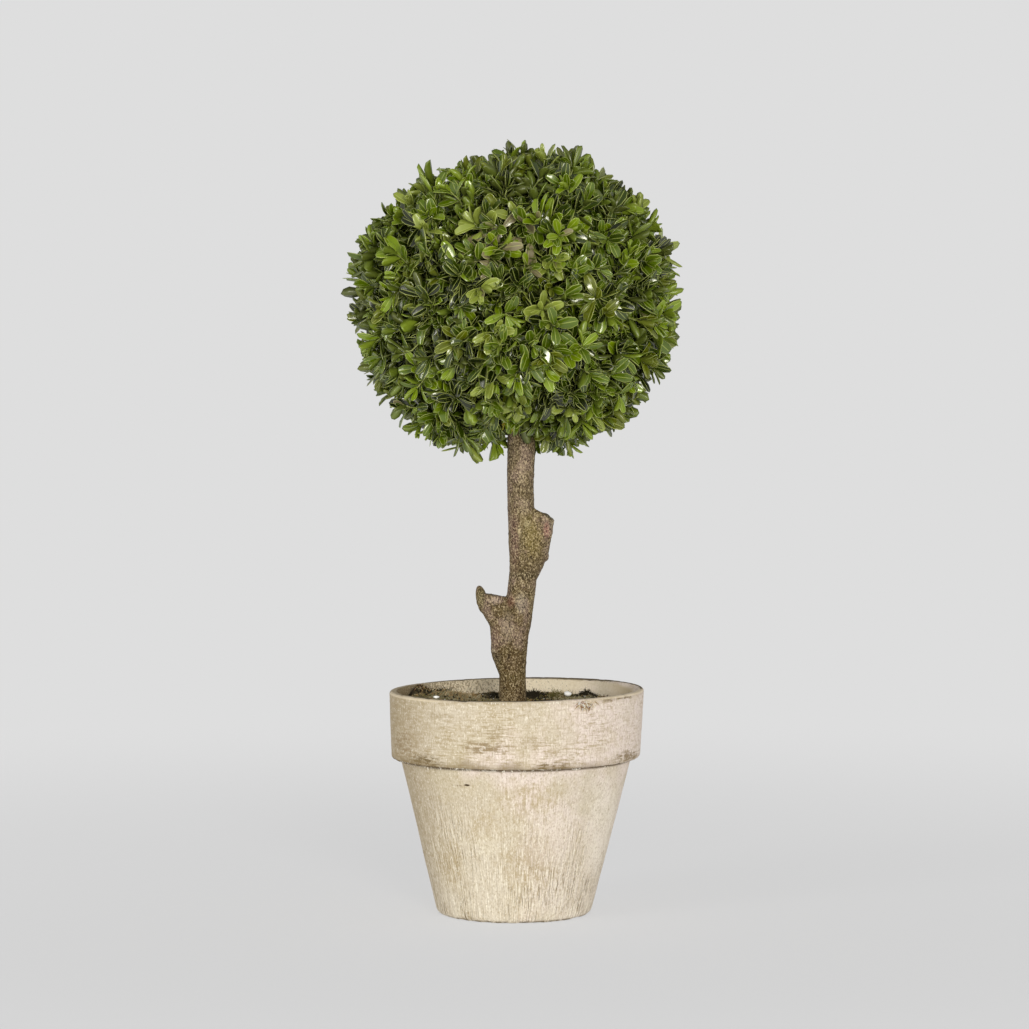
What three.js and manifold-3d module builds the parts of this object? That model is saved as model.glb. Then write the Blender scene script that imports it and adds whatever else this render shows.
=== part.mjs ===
// Box topiary ball: a clipped ball of box foliage on a bare knotted stem, standing in a
// flowerpot of whitewashed clay. Millimetres, +Z up. The origin is the centre of the pot's
// flat underside, +X points to the right and -Y to the front.

import * as THREE from "three";
import { mergeVertices } from "three/addons/utils/BufferGeometryUtils.js";
import Module from "manifold-3d";

const wasm = await Module();
wasm.setup();

// ---------------------------------------------------------------------------------------
// Driving dimensions
// ---------------------------------------------------------------------------------------

const GAP = 0.3; // clearance between neighbouring pieces
const AROUND = 56; // segments round the pot and what fills it
const BEYOND = 200; // size of the block that a saw cut takes away

const POT = {
  height: 178.5,
  lipRadius: 101.3, // outer radius at the top
  collarFootRadius: 99, // outer radius at the collar's lower edge
  collarHeight: 54,
  shoulderRadius: 91.8, // the body where it comes out of the collar
  footRadius: 61, // the body at the ground
  wall: 7,
  floor: 12,
  lipRounding: 3,
  collarRounding: 4,
  footRounding: 5,
};

const SOIL_TOP = 162.5;

const MOSS = {
  thickness: 5,
  rings: 7,
  // Mounds on the bed: centre, reach and height.
  mounds: [
    { x: -60, y: 26, reach: 34, height: 7 },
    { x: 26, y: -6, reach: 30, height: 3.5 },
    { x: 58, y: 22, reach: 26, height: 3 },
    { x: -12, y: 4, reach: 24, height: 3 },
    { x: 8, y: 58, reach: 30, height: 2.5 },
  ],
};

// Limbs are lists of stations from the foot to the tip: centre x, y, z and radius.
const STEM = [
  [-2, 0, SOIL_TOP - 6, 11.4],
  [-2.4, 0, SOIL_TOP + 8, 10.5],
  [-2.6, 0.5, 194.5, 10.3],
  [-1.2, 0.5, 218.5, 11],
  [3, 0, 242.5, 11],
  [5.8, -1, 274.5, 10.7],
  [5.2, -1, 308.5, 10.3],
  [4.1, 0, 347.5, 10.3],
  [4.5, 0.5, 378.5, 10.6],
  [3, 0, 432.5, 8],
  [1, 0, 472.5, 5],
];

// A cut bough is a limb and the planes that the saw and the knife left.
const LOWER_BOUGH = {
  stations: [
    [-4, 0, 188, 8],
    [-7, -1, 200, 9],
    [-9.2, -2, 209, 10],
    [-9.2, -2.5, 220, 10],
    [-11, -3.5, 232, 10],
    [-15.4, -5, 244, 11.4],
    [-19, -6, 257, 11.2],
    [-21.5, -7, 268, 10.5],
  ],
  cuts: [{ through: [-18.5, -5, 256.5], facing: [0.36, 0.06, 0.93] }],
};

const UPPER_BOUGH = {
  stations: [
    [3, 0, 256, 7.5],
    [7.5, -1, 270, 10],
    [11.5, -2.5, 283, 12],
    [15.5, -4, 296, 12.8],
    [19.5, -5, 309, 13],
    [23.5, -6, 322, 13],
  ],
  cuts: [
    { through: [27.6, -5, 296], facing: [0.985, 0.02, -0.16] },
    { through: [22, -5, 320.3], facing: [0.55, 0, 0.83] },
  ],
};

const LIMB = { sides: 16, ringsPerSpan: 2 };

const BALL = {
  centre: [-0.5, 0, 484.5],
  radiusAcross: 134.5,
  radiusUp: 128.5,
  detail: 12, // subdivisions of the icosahedron
  tufts: 110, // sprays that stand proud of the clipped surface
  valley: 9, // how far the surface falls back between them
  unevenness: 4, // how much one tuft is clipped shorter than another
};

// ---------------------------------------------------------------------------------------
// Solids: joining and cutting
// ---------------------------------------------------------------------------------------

function toSolid(geometry) {
  const bare = geometry.index ? geometry.toNonIndexed() : geometry.clone();
  bare.deleteAttribute("normal");
  bare.deleteAttribute("uv");
  const merged = mergeVertices(bare, 1e-3);
  return new wasm.Manifold(
    new wasm.Mesh({
      numProp: 3,
      vertProperties: merged.attributes.position.array,
      triVerts: new Uint32Array(merged.index.array),
    }),
  );
}

function toGeometry(solid) {
  const mesh = solid.getMesh();
  const geometry = new THREE.BufferGeometry()
    .setAttribute("position", new THREE.BufferAttribute(mesh.vertProperties, 3))
    .setIndex(new THREE.BufferAttribute(mesh.triVerts, 1));
  geometry.computeVertexNormals();
  return geometry;
}

// Everything on the far side of the plane through a point, facing that way.
function beyond({ through, facing }) {
  const normal = new THREE.Vector3(...facing).normalize();
  const block = new THREE.BoxGeometry(BEYOND, BEYOND, BEYOND);
  block.translate(0, 0, BEYOND / 2);
  block.applyQuaternion(new THREE.Quaternion().setFromUnitVectors(new THREE.Vector3(0, 0, 1), normal));
  block.translate(...through);
  return toSolid(block);
}

// Moves every vertex of a geometry by a function of its position.
function reshape(geometry, move) {
  const position = geometry.attributes.position;
  const point = new THREE.Vector3();
  for (let i = 0; i < position.count; i++) {
    point.fromBufferAttribute(position, i);
    move(point);
    position.setXYZ(i, point.x, point.y, point.z);
  }
  return geometry;
}

// ---------------------------------------------------------------------------------------
// The pot and what fills it
// ---------------------------------------------------------------------------------------

// Turns corners [radius, height, rounding] into a solid of revolution about +Z. The first
// and the last corner lie on the axis.
function turned(corners) {
  const points = corners.map(([radius, height]) => new THREE.Vector2(radius, height));
  const outline = new THREE.Path();
  outline.moveTo(points[0].x, points[0].y);
  for (let i = 1; i < corners.length; i++) {
    const rounding = corners[i][2] ?? 0;
    if (rounding === 0) {
      outline.lineTo(points[i].x, points[i].y);
      continue;
    }
    const towards = (other) => other.clone().sub(points[i]).setLength(rounding).add(points[i]);
    const start = towards(points[i - 1]);
    const end = towards(points[i + 1]);
    outline.lineTo(start.x, start.y);
    outline.quadraticCurveTo(points[i].x, points[i].y, end.x, end.y);
  }
  const stepsPerRounding = 3;
  return new THREE.LatheGeometry(outline.getPoints(stepsPerRounding), AROUND).rotateX(Math.PI / 2);
}

// The inside of the pot is a plain cone from its floor to its lip.
function insideRadius(height) {
  const share = (height - POT.floor) / (POT.height - POT.floor);
  const atFloor = POT.footRadius - POT.wall + 1;
  return THREE.MathUtils.lerp(atFloor, POT.lipRadius - POT.wall, share);
}

function clayPot() {
  const collarFoot = POT.height - POT.collarHeight;
  return turned([
    [0, 0],
    [POT.footRadius, 0, POT.footRounding],
    [POT.shoulderRadius, collarFoot],
    [POT.collarFootRadius, collarFoot, POT.collarRounding],
    [POT.lipRadius, POT.height, POT.lipRounding],
    [insideRadius(POT.height), POT.height, POT.lipRounding],
    [insideRadius(POT.floor), POT.floor],
    [0, POT.floor],
  ]);
}

function soilFill() {
  const bottom = POT.floor + GAP;
  return turned([
    [0, bottom],
    [insideRadius(bottom) - GAP, bottom],
    [insideRadius(SOIL_TOP) - GAP, SOIL_TOP],
    [0, SOIL_TOP],
  ]);
}

// A thin bed of moss on the soil, thicker where the mounds are.
function mossBed() {
  const bottom = SOIL_TOP + GAP;
  const radius = insideRadius(bottom) - 2 * GAP;
  const top = bottom + MOSS.thickness;
  const corners = [[0, bottom], [radius, bottom]];
  for (let ring = 0; ring <= MOSS.rings; ring++) {
    corners.push([radius * (1 - ring / MOSS.rings), top]);
  }
  return reshape(turned(corners), (point) => {
    if (point.z < bottom + MOSS.thickness / 2) return;
    for (const { x, y, reach, height } of MOSS.mounds) {
      const near = Math.max(0, 1 - Math.hypot(point.x - x, point.y - y) / reach);
      point.z += height * near * near * (3 - 2 * near);
    }
    point.z += 0.8 * Math.sin(point.x / 7) * Math.cos(point.y / 9);
  });
}

// ---------------------------------------------------------------------------------------
// The stem and its two cut boughs
// ---------------------------------------------------------------------------------------

// A round limb along a smooth curve through its stations. Its sections stand square to the
// curve. Swell makes it thicker all over, for the socket that it fits into.
function limb(stations, swell = 0) {
  const line = new THREE.CatmullRomCurve3(stations.map(([x, y, z]) => new THREE.Vector3(x, y, z)));
  const girth = new THREE.CatmullRomCurve3(stations.map(([, , , radius]) => new THREE.Vector3(radius, 0, 0)));
  const rings = (stations.length - 1) * LIMB.ringsPerSpan;
  const rod = new THREE.CylinderGeometry(1, 1, 1, LIMB.sides, rings);
  const depth = new THREE.Vector3(0, 1, 0);
  return reshape(rod, (point) => {
    const along = THREE.MathUtils.clamp(point.y + 0.5, 0, 1);
    const radius = girth.getPoint(along).x + swell;
    const tangent = line.getTangent(along);
    const across = new THREE.Vector3().crossVectors(depth, tangent).normalize();
    const back = new THREE.Vector3().crossVectors(tangent, across);
    const [side, rear] = [point.x * radius, point.z * radius];
    point.copy(line.getPoint(along));
    point.addScaledVector(tangent, along === 1 ? swell : 0);
    point.addScaledVector(across, side).addScaledVector(back, -rear);
  });
}

// The stem is cut flat where it stands on the soil.
function stemSolid(swell = 0) {
  const ground = { through: [0, 0, SOIL_TOP + GAP], facing: [0, 0, -1] };
  return toSolid(limb(STEM, swell)).subtract(beyond(ground));
}

function cutBough({ stations, cuts }) {
  const whole = toSolid(limb(stations)).subtract(stemSolid(GAP));
  return cuts.reduce((bough, cut) => bough.subtract(beyond(cut)), whole);
}

// ---------------------------------------------------------------------------------------
// The ball of foliage
// ---------------------------------------------------------------------------------------

// Directions spread evenly over a sphere, each with the share of its full height that the
// shears left.
function tuftsOf({ tufts, valley, unevenness }) {
  const goldenAngle = Math.PI * (3 - Math.sqrt(5));
  return Array.from({ length: tufts }, (_, i) => {
    const height = 1 - (2 * (i + 0.5)) / tufts;
    const ring = Math.sqrt(1 - height * height);
    const turn = i * goldenAngle;
    const direction = new THREE.Vector3(ring * Math.cos(turn), ring * Math.sin(turn), height);
    const shortened = unevenness * THREE.MathUtils.seededRandom(i + 1);
    return { direction, rise: valley - shortened };
  });
}

function leafBall() {
  const tufts = tuftsOf(BALL);
  const tuftReach = 2.2 / Math.sqrt(BALL.tufts); // radians from a tuft's middle to its edge
  const ball = new THREE.IcosahedronGeometry(1, BALL.detail);
  reshape(ball, (point) => {
    const out = point.clone().normalize();
    let proud = 0;
    for (const { direction, rise } of tufts) {
      const away = out.angleTo(direction) / tuftReach;
      proud = Math.max(proud, rise * (1 - away * away));
    }
    const fallBack = BALL.valley - proud;
    point.set(
      out.x * (BALL.radiusAcross - fallBack),
      out.y * (BALL.radiusAcross - fallBack),
      out.z * (BALL.radiusUp - fallBack),
    );
    point.add(new THREE.Vector3(...BALL.centre));
  });
  return toSolid(ball).subtract(stemSolid(GAP));
}

// ---------------------------------------------------------------------------------------
// Materials and the finished part
// ---------------------------------------------------------------------------------------

const finish = (color, roughness) => new THREE.MeshStandardMaterial({ color, roughness, metalness: 0 });

const clay = finish(0xd9ccb4, 0.9);
const soil = finish(0x43352a, 1);
const moss = finish(0x56532f, 1);
const bark = finish(0x78664c, 0.85);
const foliage = finish(0x56682a, 0.5);

const part = new THREE.Group();

function place(name, geometry, material) {
  const mesh = new THREE.Mesh(geometry, material);
  mesh.name = name;
  part.add(mesh);
}

place("clay_pot", clayPot(), clay);
place("soil_fill", soilFill(), soil);
place("moss_bed", toGeometry(toSolid(mossBed()).subtract(stemSolid(GAP))), moss);
place("stem", toGeometry(stemSolid()), bark);
place("lower_cut_bough", toGeometry(cutBough(LOWER_BOUGH)), bark);
place("upper_cut_bough", toGeometry(cutBough(UPPER_BOUGH)), bark);
place("leaf_ball", toGeometry(leafBall()), foliage);

export default part;
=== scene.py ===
"""Looks of a potted box topiary ball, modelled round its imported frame.

The flowerpot, the moss, the bark and the foliage stand for the plain CAD solids. Lengths are
in metres; sizes named in millimetres are multiplied by MM. Colours are sRGB, 0 to 255.
"""

import itertools
import math

import bmesh
import bpy
import numpy as np
from mathutils import Matrix, Vector
from mathutils.bvhtree import BVHTree
from numpy.linalg import norm


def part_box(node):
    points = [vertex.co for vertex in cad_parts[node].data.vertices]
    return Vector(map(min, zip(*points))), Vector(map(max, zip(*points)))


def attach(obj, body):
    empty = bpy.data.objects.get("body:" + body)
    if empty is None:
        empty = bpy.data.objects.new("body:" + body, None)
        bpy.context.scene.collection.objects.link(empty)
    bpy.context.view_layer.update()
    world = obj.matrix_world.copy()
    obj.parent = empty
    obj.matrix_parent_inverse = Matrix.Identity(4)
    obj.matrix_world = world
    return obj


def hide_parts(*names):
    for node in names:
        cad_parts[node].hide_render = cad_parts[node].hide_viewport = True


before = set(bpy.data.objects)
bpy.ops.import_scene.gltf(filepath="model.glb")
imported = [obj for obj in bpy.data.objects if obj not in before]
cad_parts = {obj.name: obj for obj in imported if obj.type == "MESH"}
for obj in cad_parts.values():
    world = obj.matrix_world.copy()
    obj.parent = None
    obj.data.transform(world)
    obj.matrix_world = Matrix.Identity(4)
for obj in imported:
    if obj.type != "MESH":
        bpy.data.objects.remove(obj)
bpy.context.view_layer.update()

MM = 0.001
UP = np.array([0.0, 0.0, 1.0])
FULL_TURN = 2 * math.pi
GOLDEN_ANGLE = math.pi * (3 - math.sqrt(5))


# ---- Objects and the camera ----

CAMERA_PLACE = (-0.0008, -3.0, 0.47)
CAMERA_AIM = (-0.0008, 0.0, 0.3175)
CAMERA_LENS = 132.4
CAMERA_SENSOR = 36.0


def in_scene(name, data):
    thing = bpy.data.objects.new(name, data)
    bpy.context.scene.collection.objects.link(thing)
    return thing


def aimed(name, data, place, aim):
    """Puts a camera or light at a place, turned towards another."""
    thing = in_scene(name, data)
    thing.location = place
    thing.rotation_euler = (Vector(aim) - Vector(place)).to_track_quat("-Z", "Y").to_euler()
    return thing


def make_camera():
    data = bpy.data.cameras.new("camera")
    data.lens = CAMERA_LENS
    data.sensor_width = CAMERA_SENSOR
    bpy.context.scene.camera = aimed("camera", data, CAMERA_PLACE, CAMERA_AIM)


def piece(name, mesh, stands_for):
    """Puts a finished mesh into the scene as a piece that rides with the plant."""
    thing = in_scene(name, mesh)
    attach(thing, "root")
    if stands_for:
        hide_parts(*stands_for)


def piece_of(name, points, faces, materials, slot, stands_for=(), kinds=None):
    """A smooth piece from arrays. Kinds gives each face's material, as an index."""
    mesh = bpy.data.meshes.new(name)
    mesh.from_pydata(np.asarray(points, float), [], faces)
    for material in materials:
        mesh.materials.append(material)
    if kinds is not None:
        mesh.polygons.foreach_set("material_index", np.asarray(kinds, np.int32))
    mesh.polygons.foreach_set("use_smooth", np.ones(len(faces), bool))
    mesh.update()
    piece(name, mesh, stands_for)


# ---- Shapes from arrays ----

PRIMES = np.array([73856093, 19349663, 83492791])
SEED_PRIME = 2654435761
MIXER = 1274126177


def hashed(cells, seed):
    """A repeatable value from -1 to 1 for each whole-number cell."""
    mixed_up = np.bitwise_xor.reduce(cells * PRIMES, axis=1) ^ (seed * SEED_PRIME)
    mixed_up = (mixed_up ^ (mixed_up >> 13)) * MIXER
    return ((mixed_up ^ (mixed_up >> 16)) & 0xFFFF) / 32767.5 - 1


def noise(points, cell, seed):
    """Smooth values from about -1 to 1, with features about a cell wide."""
    scaled = points / np.asarray(cell, float)
    low = np.floor(scaled).astype(np.int64)
    part = smooth_step(scaled - low, 0, 1)
    total = np.zeros(len(points))
    for corner in itertools.product((0, 1), repeat=3):
        weight = np.prod(np.where(corner, part, 1 - part), axis=1)
        total += weight * hashed(low + corner, seed)
    return total


def smooth_step(values, low, high):
    share = np.clip((values - low) / (high - low), 0, 1)
    return share * share * (3 - 2 * share)


def unit(vectors):
    return vectors / np.maximum(norm(vectors, axis=-1, keepdims=True), 1e-12)


def hump(away):
    """A rounded hump, 1 in the middle. Away is a distance in half widths."""
    return np.exp(-(away**2))


def spokes(turn):
    """Unit vectors in a plane at the given angles."""
    return np.stack([np.cos(turn), np.sin(turn)], axis=-1)


def circle(sides):
    return spokes(np.arange(sides) * FULL_TURN / sides)


def bezier(knots, at):
    """Points on curves of any degree: knots (curves, knots, axes), at (curves, points)."""
    t = at[..., None]
    degree = knots.shape[1] - 1
    shares = [math.comb(degree, i) * (1 - t) ** (degree - i) * t**i for i in range(degree + 1)]
    return sum(share * knots[:, None, i] for i, share in enumerate(shares))


def bezier_direction(knots, at):
    return unit(bezier(np.diff(knots, axis=1), at))


def ring_faces(rings, sides):
    """Faces between rings of points, and the two ends, whose middles come after the rings."""
    index = np.arange(rings * sides).reshape(rings, sides)
    after = np.roll(index, -1, axis=1)
    faces = np.stack([index[:-1], after[:-1], after[1:], index[1:]], axis=-1).reshape(-1, 4).tolist()
    foot, tip = rings * sides, rings * sides + 1
    faces += [[foot, b, a] for a, b in zip(index[0], after[0])]
    faces += [[tip, a, b] for a, b in zip(index[-1], after[-1])]
    return faces


def repeated(points, faces):
    """Joins copies: points (copies, points, 3) that share one list of faces."""
    copies, size = points.shape[:2]
    everything = [[i + copy * size for i in face] for copy in range(copies) for face in faces]
    return points.reshape(-1, 3), everything


def tubes(paths, radii, sides):
    """Closed round tubes along paths (tubes, rings, 3), with radii (tubes, rings)."""
    number, length = paths.shape[:2]
    tangents = unit(np.gradient(paths, axis=1))
    overall = unit(paths[:, -1] - paths[:, 0])
    reference = np.where(np.abs(overall[:, 2:3]) < 0.8, UP, np.array([0.0, 1.0, 0.0]))[:, None]
    across = unit(np.cross(reference, tangents))
    other = np.cross(tangents, across)
    outward = across[:, :, None] * circle(sides)[:, :1] + other[:, :, None] * circle(sides)[:, 1:]
    rings = paths[:, :, None] + outward * radii[:, :, None, None]
    points = np.concatenate([rings.reshape(number, -1, 3), paths[:, :1], paths[:, -1:]], axis=1)
    return repeated(points, ring_faces(length, sides))


# ---- Materials from nodes ----


def srgb(red, green, blue):
    """An sRGB colour, 0 to 255, as a linear one with alpha."""
    shares = [channel / 255 for channel in (red, green, blue)]
    linear = [s / 12.92 if s <= 0.04045 else ((s + 0.055) / 1.055) ** 2.4 for s in shares]
    return (*linear, 1.0)


def mixed(one, other, share):
    return tuple(a + (b - a) * share for a, b in zip(one, other))


class Nodes:
    """Makes and links the nodes of a material or a world."""

    def __init__(self, owner):
        owner.use_nodes = True
        self.tree = owner.node_tree

    def add(self, kind, inputs=None, **settings):
        node = self.tree.nodes.new("ShaderNode" + kind)
        for key, value in settings.items():
            setattr(node, key, value)
        for key, value in (inputs or {}).items():
            self.feed(node.inputs[key], value)
        return node

    def feed(self, socket, value):
        if isinstance(value, bpy.types.NodeSocket):
            self.tree.links.new(value, socket)
        else:
            socket.default_value = value

    def split(self, vector):
        return self.add("SeparateXYZ", {"Vector": vector}).outputs

    def blend(self, share, one, other):
        return self.add("Mix", {0: share, 6: one, 7: other}, data_type="RGBA").outputs[2]


class Finish(Nodes):
    """A material of one Principled shader and the nodes that feed it."""

    def __init__(self, name, **sockets):
        self.material = bpy.data.materials.new(name)
        super().__init__(self.material)
        self.shader = self.tree.nodes["Principled BSDF"]
        self.place = self.add("TexCoord").outputs["Object"]
        self.done(**sockets)

    def done(self, **sockets):
        """The material, with these sockets of its shader set or fed."""
        for name, value in sockets.items():
            self.feed(self.shader.inputs[name.replace("_", " ")], value)
        return self.material

    def math(self, operation, *values):
        return self.add("Math", dict(enumerate(values)), operation=operation).outputs[0]

    def vector_math(self, operation, *values):
        outputs = self.add("VectorMath", dict(enumerate(values)), operation=operation).outputs
        return outputs["Value" if operation == "LENGTH" else "Vector"]

    def noise(self, scale, detail, roughness, distortion=0.0, where=None):
        """Noise of one scale, or of one for each axis."""
        where = where or self.place
        if isinstance(scale, tuple):
            where, scale = self.vector_math("MULTIPLY", where, scale), 1.0
        values = {"Vector": where, "Scale": scale, "Detail": detail, "Roughness": roughness}
        return self.add("TexNoise", {**values, "Distortion": distortion}).outputs["Fac"]

    def band(self, value, low, high, to_low=0.0, to_high=1.0):
        """Turns values between low and high smoothly into values between two others."""
        values = {"Value": value, "From Min": low, "From Max": high, "To Min": to_low, "To Max": to_high}
        return self.add("MapRange", values, interpolation_type="SMOOTHSTEP").outputs["Result"]

    def times(self, *shares):
        """The product of shares. A tuple stands for a band."""
        product, *others = [self.band(*share) if isinstance(share, tuple) else share for share in shares]
        for share in others:
            product = self.math("MULTIPLY", product, share)
        return product

    def stains(self, colour, *stains):
        """Lays shades over a colour, each as strongly as the product of its shares."""
        for shade, *shares in stains:
            colour = self.blend(self.times(*shares), colour, srgb(*shade))
        return colour

    def distance(self, place, sizes):
        """Distance from a place in millimetres, in half sizes."""
        away = self.vector_math("SUBTRACT", self.place, tuple(value * MM for value in place))
        away = self.vector_math("MULTIPLY", away, tuple(1 / (MM * size) for size in sizes))
        return self.vector_math("LENGTH", away)

    def spots(self, colour, places, ragged, cover=1.0):
        """Lays spots over a colour: centre and half sizes in millimetres, shade and strength."""
        for place, sizes, shade, strength in places:
            away = self.math("ADD", self.distance(place, sizes), ragged)
            colour = self.stains(colour, (shade, (away, 1.3, 0.4, 0, strength), cover))
        return colour

    def bump(self, height, distance, strength, **under):
        values = {"Height": height, "Distance": distance, "Strength": strength}
        return self.add("Bump", {**values, **under}).outputs["Normal"]


# ---- The flowerpot ----

POT_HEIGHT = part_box("clay_pot")[1].z
LIP_RADIUS = 101.3 * MM
COLLAR_FOOT = POT_HEIGHT - 54 * MM
COLLAR_FOOT_RADIUS = 99 * MM
SHOULDER_RADIUS = 91.8 * MM
FOOT_RADIUS = 61 * MM
WALL = 7 * MM
FLOOR = 12 * MM
HIDDEN_BELOW = 155 * MM  # the inner wall, by the soil
POT_SIDES = 340
FINE_STEP = 1.6 * MM  # between rings where the pot shows
COARSE_STEP = 8 * MM  # and where it doesn't
TILT = 0.0125  # how much higher the lip stands on the right, for its distance across
LEAN = 0.0123  # how far the pot leans to the right, for its height
NICK_PLACE, NICK_SIZE, NICK_DEPTH = (-37, -77.5, 111.4), (3.4, 5.0, 1.2), 1.1
# Marks on the clay, and painted shade on its left side: centre and half sizes in millimetres, colour and
# strength.
SMUDGES_AND_SHADE = [
    ((-22, -97, 142), (19, 12, 6), (126, 104, 70), 0.65),
    ((-15, -98, 154), (11, 12, 7), (140, 120, 84), 0.5),
    ((12, -98, 146.5), (13, 12, 6), (146, 126, 92), 0.4),
    ((34, -94, 136), (14, 12, 3), (142, 122, 86), 0.45),
    ((-58, -80, 165), (14, 15, 3), (150, 132, 100), 0.4),
    ((-88, -45, 139), (14, 20, 10), (134, 112, 84), 0.6),
    ((-70, -68, 128), (20, 20, 6), (98, 80, 46), 0.9),
    ((28, -95, 127), (17, 12, 4), (108, 88, 52), 0.85),
    ((88, -46, 130), (14, 24, 5), (116, 94, 58), 0.8),
    ((79, -62, 177.4), (20, 22, 2.0), (104, 86, 54), 0.9),
    ((10, -70, 48), (22, 20, 18), (166, 144, 104), 0.55),
    ((22, -83, 103), (16, 18, 12), (176, 156, 116), 0.5),
    ((-2, -84, 100), (12, 16, 18), (172, 152, 112), 0.5),
    ((-24, -78, 76), (12, 16, 18), (176, 156, 116), 0.5),
    ((-52, -50, 44), (14, 20, 20), (174, 154, 116), 0.55),
    ((52, -48, 60), (12, 20, 22), (178, 160, 124), 0.25),
    ((24, -70, 64), (20, 20, 18), (230, 215, 204), 0.45),
    ((-22, -72, 63), (10, 14, 9), (250, 243, 222), 0.5),
    ((0, -80, 76), (46, 26, 34), (190, 174, 144), 0.35),
    ((70, -44, 72), (17, 36, 48), (240, 230, 214), 0.7),
    # Painted shade: these two darken the left side of the collar and the body.
    ((-96, -30, 152), (30, 60, 44), (156, 136, 102), 0.45),
    ((-82, -30, 66), (30, 50, 75), (154, 134, 100), 0.5),
    ((-44.5, -76, 110.6), (4.5, 8, 0.8), (110, 88, 58), 1.0),
]


def inside_radius(height):
    """Radius of the pot's inner cone, as in the CAD source."""
    share = (height - FLOOR) / (POT_HEIGHT - FLOOR)
    at_floor = FOOT_RADIUS - WALL + 1 * MM
    return at_floor + (LIP_RADIUS - WALL - at_floor) * share


def rounded_outline(corners):
    """Points along an outline of corners (radius, height, rounding, step towards it)."""
    places = np.array([corner[:2] for corner in corners])
    points = [places[0]]
    for i, (_, _, rounding, step) in enumerate(corners[1:], 1):
        start, curve = places[i], []
        if rounding:
            start = places[i] + unit(places[i - 1] - places[i]) * rounding
            end = places[i] + unit(places[i + 1] - places[i]) * rounding
            curve = list(bezier(np.array([[start, places[i], end]]), np.linspace(0, 1, 7)[None, 1:])[0])
        stretch = start - points[-1]
        count = max(1, round(norm(stretch) / step))
        points += list(points[-1] + stretch * np.arange(1, count + 1)[:, None] / count) + curve
    return np.array(points)


def pot_outline():
    below_soil = POT_HEIGHT - 26 * MM
    return rounded_outline([
        (0.0, 0.0, 0, COARSE_STEP),
        (FOOT_RADIUS, 0.0, 5 * MM, COARSE_STEP),
        (SHOULDER_RADIUS, COLLAR_FOOT, 1.2 * MM, FINE_STEP),
        (COLLAR_FOOT_RADIUS, COLLAR_FOOT, 3.2 * MM, FINE_STEP),
        (LIP_RADIUS, POT_HEIGHT, 2.6 * MM, FINE_STEP),
        (inside_radius(POT_HEIGHT), POT_HEIGHT, 2.6 * MM, FINE_STEP),
        (inside_radius(below_soil), below_soil, 0, FINE_STEP),
        (inside_radius(FLOOR), FLOOR, 0, COARSE_STEP),
        (0.0, FLOOR, 0, COARSE_STEP),
    ])


def pot_relief(points, radii):
    """How far the clay and its brushed wash stand proud at each point."""
    ring = points.copy()
    ring[:, :2] /= np.maximum(radii, 1e-6)[:, None]
    height = points[:, 2]
    on_collar = smooth_step(height, COLLAR_FOOT - 1 * MM, COLLAR_FOOT + 1 * MM)
    thrown = 0.35 * noise(ring, (0.7, 0.7, 0.045), 3) + 0.14 * noise(points, 0.014, 4)
    across = noise(ring, (0.22, 0.22, 0.0016), 5) + 0.6 * noise(ring, (0.1, 0.1, 0.0028), 6)
    down = noise(ring, (0.02, 0.02, 0.024), 7) + 0.6 * noise(ring, (0.035, 0.035, 0.012), 8)
    brushed = 0.075 * (across * on_collar + down * (1 - on_collar))
    grain = 0.035 * noise(points, 0.0017, 9)
    near_edge = hump((height - COLLAR_FOOT - 0.6 * MM) / (1.5 * MM))
    near_edge += 0.8 * hump((height - POT_HEIGHT + 0.6 * MM) / (1.2 * MM))
    chips = near_edge * smooth_step(noise(points, 0.005, 10) + 0.5 * noise(points, 0.0022, 11), 0.15, 0.7)
    worn_foot = hump(height / (3 * MM)) * smooth_step(noise(points, 0.007, 12), 0.0, 0.6)
    nick = NICK_DEPTH * hump(norm((points / MM - NICK_PLACE) / NICK_SIZE, axis=1))
    return (thrown + brushed + grain - 0.55 * chips - 0.5 * worn_foot - nick) * MM


def flowerpot(material):
    outline = pot_outline()
    along = np.gradient(outline, axis=0)[1:-1]
    radii, heights = np.repeat(outline[1:-1], POT_SIDES, axis=0).T
    shows = np.repeat(unit(np.stack([along[:, 1], -along[:, 0]], axis=1)), POT_SIDES, axis=0)
    outward = np.tile(circle(POT_SIDES), (len(along), 1))
    points = np.column_stack([outward * radii[:, None], heights])
    inner_wall = (radii < inside_radius(heights) + 0.1 * MM) & (heights < HIDDEN_BELOW)
    relief = np.where((heights < 0.01 * MM) | inner_wall, 0.0, pot_relief(points, radii))
    points[:, :2] += outward * (shows[:, 0] * relief)[:, None]
    points[:, 2] = np.maximum(heights + shows[:, 1] * relief, 0.0)
    points[:, 2] += TILT * points[:, 0] * smooth_step(points[:, 2], COLLAR_FOOT - 60 * MM, POT_HEIGHT)
    points[:, 0] += LEAN * (points[:, 2] - POT_HEIGHT / 2)
    points = np.vstack([points, [0, 0, 0], [0, 0, FLOOR]])
    faces = ring_faces(len(along), POT_SIDES)
    piece_of("flowerpot", points, faces, [material], "clay", ["clay_pot"])


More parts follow.
